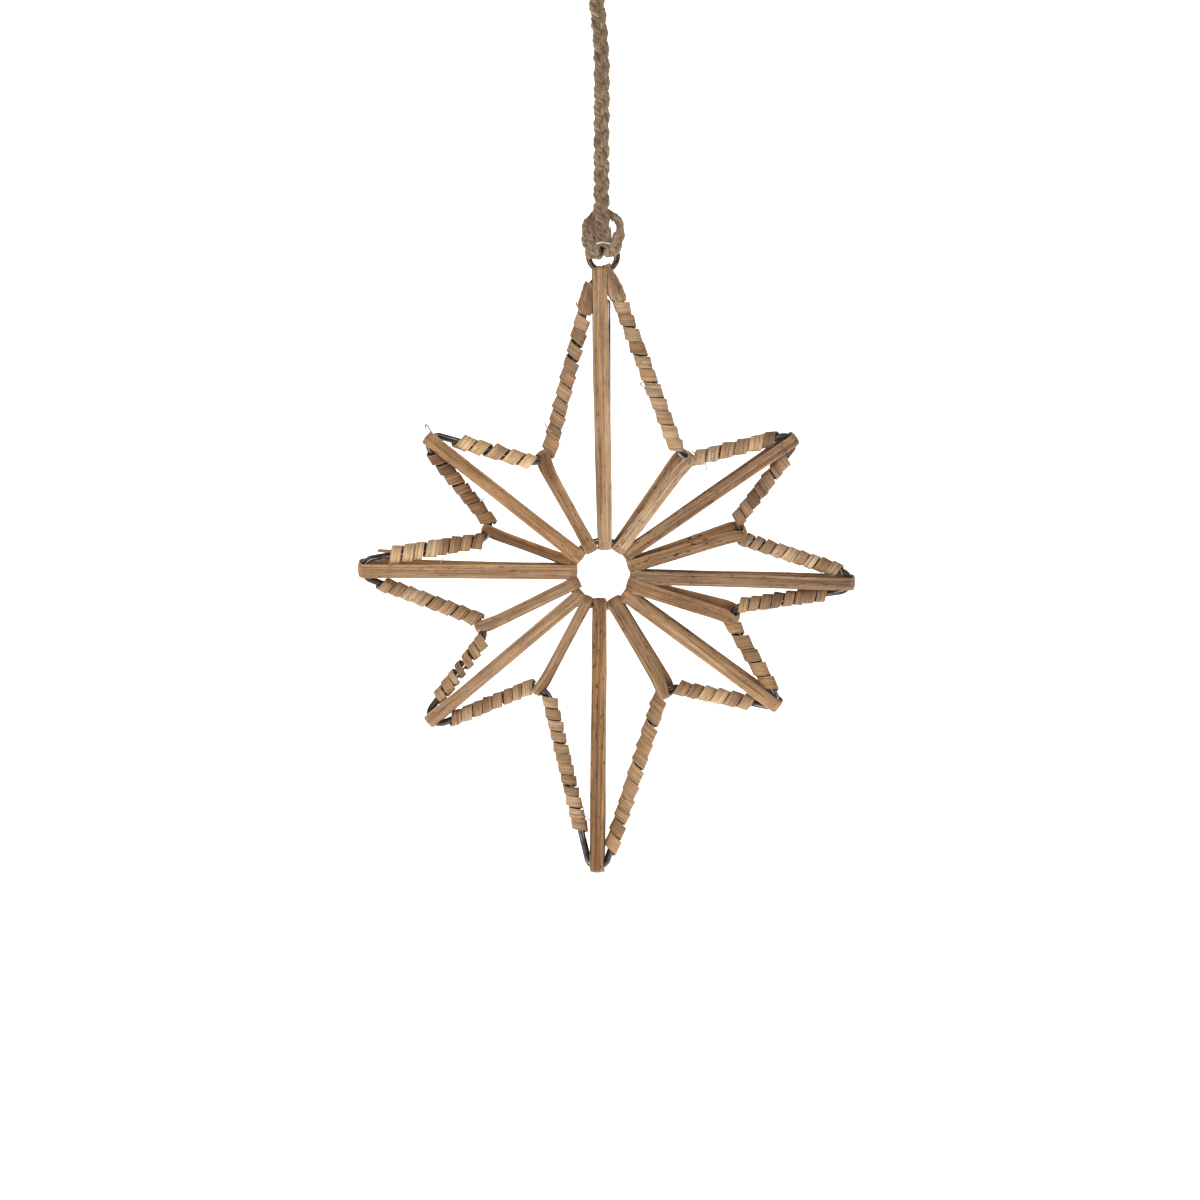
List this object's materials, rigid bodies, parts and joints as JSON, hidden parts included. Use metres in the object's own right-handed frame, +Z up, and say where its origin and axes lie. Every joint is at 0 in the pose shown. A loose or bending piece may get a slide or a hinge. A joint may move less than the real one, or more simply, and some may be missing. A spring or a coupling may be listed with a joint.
{
  "type": "woven star ornament",
  "caption": "Wire star with long uneven points, wrapped and spoked in flat cane strip, hanging from a braided jute cord with a loop.",
  "frame": {"origin": "the point inside the top of the cord's hanging loop that a hook or nail bears on", "axes": "+Z up along the cord and the long axis of the star, -Y towards the viewer of the picture, +X to the viewer's right"},
  "size_m": [0.2038, 0.0126, 0.4031],
  "materials": {
    "steel_wire": "dark, lightly oxidised wire with bright highlights",
    "split_cane": "matt split rattan or bamboo peel, fine lengthwise grain",
    "jute": "hairy three-strand jute braid",
    "staple_steel": "bright wire staple"
  },
  "bodies": {
    "root": {"star_wire": "steel_wire", "centre_ring": "steel_wire", "hanging_ring": "steel_wire", "rod_top": "steel_wire", "rod_bottom": "steel_wire", "leg_wrap_1": "split_cane", "leg_wrap_2": "split_cane", "leg_wrap_3": "split_cane", "leg_wrap_4": "split_cane", "leg_wrap_5": "split_cane", "leg_wrap_6": "split_cane", "leg_wrap_7": "split_cane", "leg_wrap_8": "split_cane", "leg_wrap_9": "split_cane", "leg_wrap_10": "split_cane", "leg_wrap_11": "split_cane", "leg_wrap_12": "split_cane", "leg_wrap_13": "split_cane", "leg_wrap_14": "split_cane", "leg_wrap_15": "split_cane", "leg_wrap_16": "split_cane", "spoke_strip_tip_1": "split_cane", "spoke_strip_tip_2": "split_cane", "spoke_strip_tip_3": "split_cane", "spoke_strip_tip_4": "split_cane", "spoke_strip_tip_5": "split_cane", "spoke_strip_tip_6": "split_cane", "spoke_strip_tip_7": "split_cane", "spoke_strip_tip_8": "split_cane", "spoke_strip_valley_1": "split_cane", "spoke_strip_valley_2": "split_cane", "spoke_strip_valley_3": "split_cane", "spoke_strip_valley_4": "split_cane", "spoke_strip_valley_5": "split_cane", "spoke_strip_valley_6": "split_cane", "spoke_strip_valley_7": "split_cane", "spoke_strip_valley_8": "split_cane", "cord": "jute", "cord_hitch": "jute", "staple_hitch": "staple_steel", "staple_loop": "staple_steel"}
  },
  "joints": []
}
